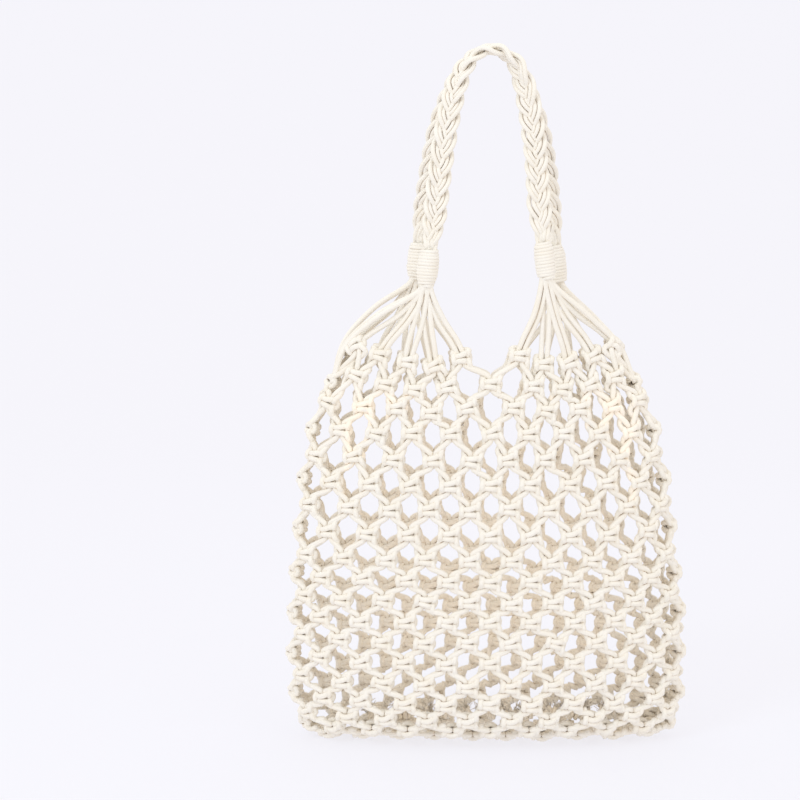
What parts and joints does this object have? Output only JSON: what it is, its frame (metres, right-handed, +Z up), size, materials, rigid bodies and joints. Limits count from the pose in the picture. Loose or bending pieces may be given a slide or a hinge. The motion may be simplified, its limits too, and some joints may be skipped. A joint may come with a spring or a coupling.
{
  "type": "string shopping bag",
  "caption": "Knotted cotton net shopping bag with a gathered rim, two flat plaited handles, wrapped collars and a rounded bottom.",
  "frame": {"origin": "the point under the middle of the two handles, where a hook or a hand carries the bag", "axes": "+Z up along the hanging bag, +X to the viewer's right along its width, +Y to the back"},
  "size_m": [0.3586, 0.114, 0.6253],
  "materials": {
    "net_cord": "matte natural cotton cord, hand knotted",
    "plait_cord": "matte natural cotton cord, plaited flat",
    "wrap_cord": "matte natural cotton cord, wound tight",
    "tail_fibre": "frayed natural cotton ends"
  },
  "bodies": {
    "root": {"net_body": "net_cord", "handle_front": "plait_cord", "handle_back": "plait_cord", "fan_front_left": "plait_cord", "fan_front_right": "plait_cord", "fan_back_left": "plait_cord", "fan_back_right": "plait_cord", "collar_front_left": "wrap_cord", "collar_front_right": "wrap_cord", "collar_back_left": "wrap_cord", "collar_back_right": "wrap_cord", "seam_tails": "tail_fibre"}
  },
  "joints": []
}
